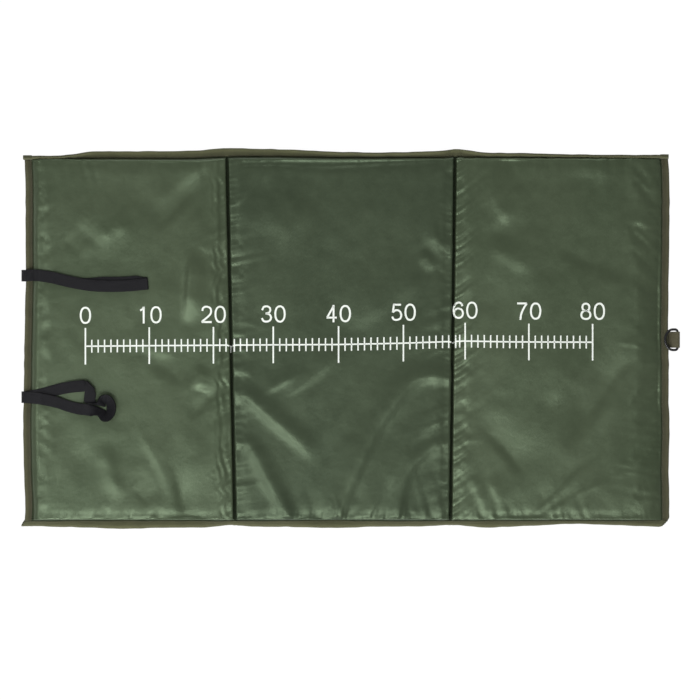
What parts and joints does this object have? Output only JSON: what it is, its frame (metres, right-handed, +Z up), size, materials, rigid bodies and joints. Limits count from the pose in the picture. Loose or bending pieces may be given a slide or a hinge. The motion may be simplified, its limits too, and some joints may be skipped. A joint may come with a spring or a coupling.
{
  "type": "folding unhooking mat",
  "caption": "Padded unhooking mat of joined panels that fold on stitched seams, bound in woven tape, with elastic closing loops at one end and a D-ring on a webbing tab at the other",
  "frame": {"origin": "on the ground, under the middle of the open mat", "axes": "+X along the mat's length towards the edge with the D-ring, +Y across the mat towards the rear edge, +Z up"},
  "size_m": [1.0251, 0.582, 0.0391],
  "materials": {
    "cover_cloth": "satin coated nylon, dark olive green",
    "base_cloth": "matt coated nylon, dark green",
    "foam": "matt grey foam, hidden inside the covers",
    "binding_tape": "matt woven tape, olive brown",
    "elastic": "matt black woven elastic",
    "webbing": "matt woven webbing, olive",
    "ring_plastic": "glossy black moulded plastic"
  },
  "bodies": {
    "middle_panel": {"foam_pad_middle": "foam", "top_cover_middle": "cover_cloth", "base_cover_middle": "base_cloth", "fold_seam_left": "cover_cloth", "fold_seam_right": "cover_cloth", "binding_front_middle": "binding_tape", "binding_rear_middle": "binding_tape"},
    "left_panel": {"foam_pad_left": "foam", "top_cover_left": "cover_cloth", "base_cover_left": "base_cloth", "binding_left": "binding_tape", "binding_front_left": "binding_tape", "binding_rear_left": "binding_tape", "loop_end_upper": "elastic", "loop_end_lower": "elastic"},
    "right_panel": {"foam_pad_right": "foam", "top_cover_right": "cover_cloth", "base_cover_right": "base_cloth", "binding_right": "binding_tape", "binding_front_right": "binding_tape", "binding_rear_right": "binding_tape", "ring_tab": "webbing"},
    "upper_loop": {"elastic_loop_upper": "elastic"},
    "lower_loop": {"elastic_loop_lower": "elastic"},
    "ring": {"d_ring": "ring_plastic"}
  },
  "joints": [
    {"name": "fold_right", "type": "hinge", "parent": "middle_panel", "child": "right_panel", "pos_m": [0.16485, 0, 0.0245], "axis": [-0.0125, -0.9999, 0], "range_deg": [0, 179.9]},
    {"name": "fold_left", "type": "hinge", "parent": "middle_panel", "child": "left_panel", "pos_m": [-0.18015, 0, 0.037], "axis": [-0.0222, 0.9998, 0], "range_deg": [0, 179.9]},
    {"name": "loop_upper_swing", "type": "hinge", "parent": "left_panel", "child": "upper_loop", "pos_m": [-0.50655, 0.0997, 0.008], "axis": [0, -1, 0], "range_deg": [0, 160]},
    {"name": "loop_lower_swing", "type": "hinge", "parent": "left_panel", "child": "lower_loop", "pos_m": [-0.50655, -0.0894, 0.008], "axis": [0, -1, 0], "range_deg": [0, 160]},
    {"name": "d_ring_swing", "type": "hinge", "parent": "right_panel", "child": "ring", "pos_m": [0.5148, 0, 0.009], "axis": [0, 1, 0], "range_deg": [0, 180]}
  ]
}
